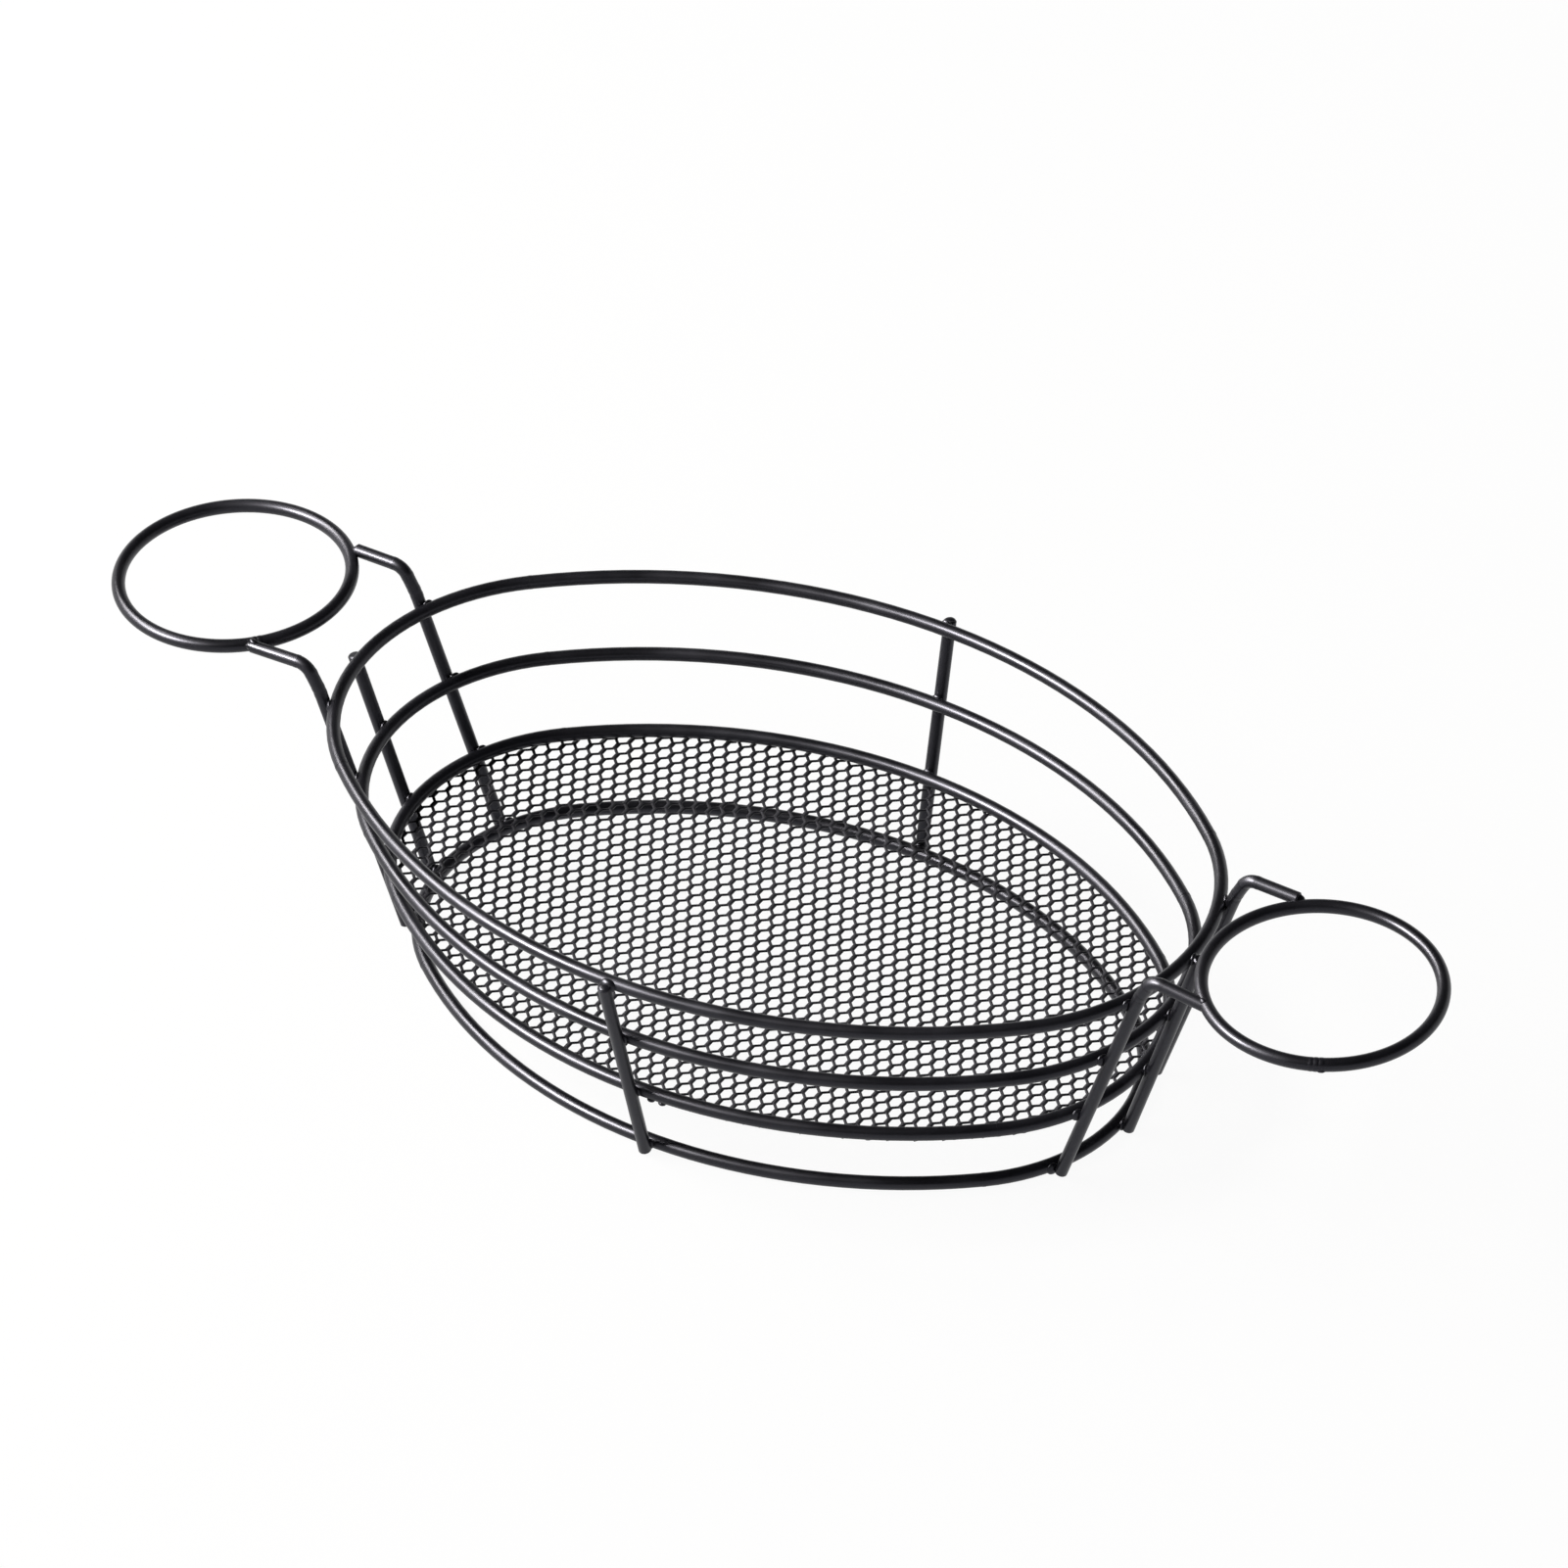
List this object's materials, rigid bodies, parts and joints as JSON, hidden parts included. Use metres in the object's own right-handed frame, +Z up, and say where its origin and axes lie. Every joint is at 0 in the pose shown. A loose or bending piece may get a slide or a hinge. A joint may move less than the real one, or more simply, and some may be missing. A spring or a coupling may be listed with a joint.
{
  "type": "fryer basket",
  "caption": "Oval wire basket for fried food, with a flat mesh floor and a round ring for a sauce cup beyond each end.",
  "frame": {"origin": "on the table, under the middle of the basket's four ovals", "axes": "+X along the basket from one cup ring to the other, +Y across it to the rear, +Z up"},
  "size_m": [0.4345, 0.194, 0.0858],
  "materials": {
    "coated_wire": "black semi-gloss coating on steel wire",
    "coated_mesh": "black semi-gloss coating on expanded steel sheet"
  },
  "bodies": {
    "root": {"rim_ring": "coated_wire", "middle_ring": "coated_wire", "floor_ring": "coated_wire", "base_ring": "coated_wire", "mesh_floor": "coated_mesh", "front_upright": "coated_wire", "rear_upright": "coated_wire", "left_end_upright": "coated_wire", "right_end_upright": "coated_wire", "left_rear_arm": "coated_wire", "left_front_arm": "coated_wire", "right_rear_arm": "coated_wire", "right_front_arm": "coated_wire", "left_cup_ring": "coated_wire", "right_cup_ring": "coated_wire"}
  },
  "joints": []
}
